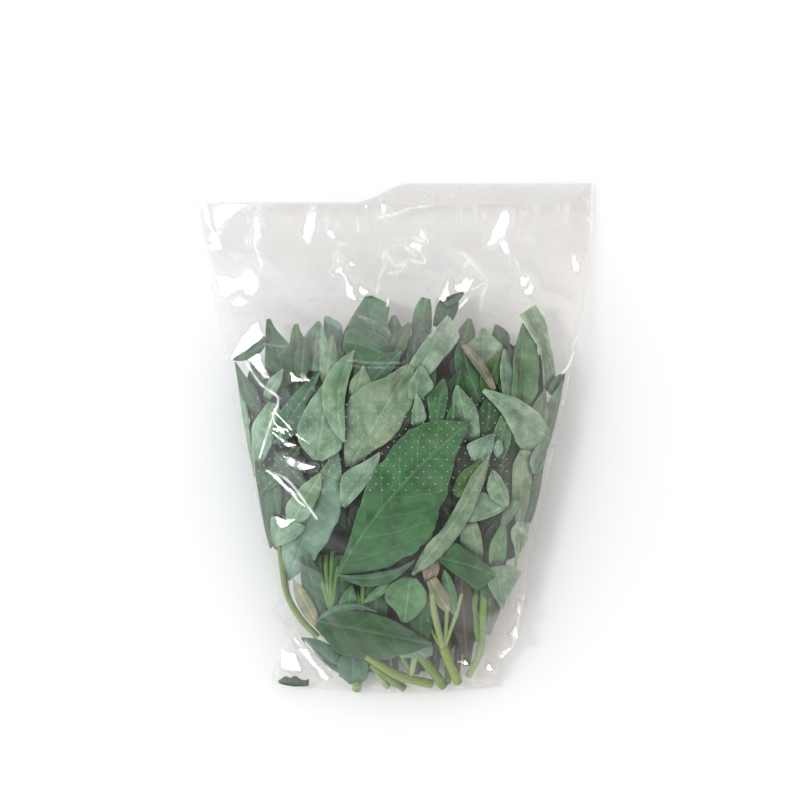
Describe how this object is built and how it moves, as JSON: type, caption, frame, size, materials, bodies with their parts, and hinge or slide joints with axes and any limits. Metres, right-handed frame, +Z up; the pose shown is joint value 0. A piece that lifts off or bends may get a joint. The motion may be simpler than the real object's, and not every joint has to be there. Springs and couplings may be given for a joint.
{
  "type": "bag of basil",
  "caption": "Clear tapered film bag, open at its wide end, lying flat round a bunch of leafy basil stems, with a longer lip on one layer.",
  "frame": {"origin": "bottom centre of the bounding box, on the surface that the bag lies on", "axes": "+X to the right across the bag, +Y along the bag towards its open mouth, +Z up off the surface"},
  "size_m": [0.1989, 0.254, 0.0422],
  "materials": {
    "film": "clear, glossy, finely creased",
    "basil": "satin leaf",
    "dark_leaf": "satin leaf"
  },
  "bodies": {
    "root": {"bag_film": "film", "basil_bunch": "basil", "leaf_scrap": "dark_leaf"}
  },
  "joints": []
}
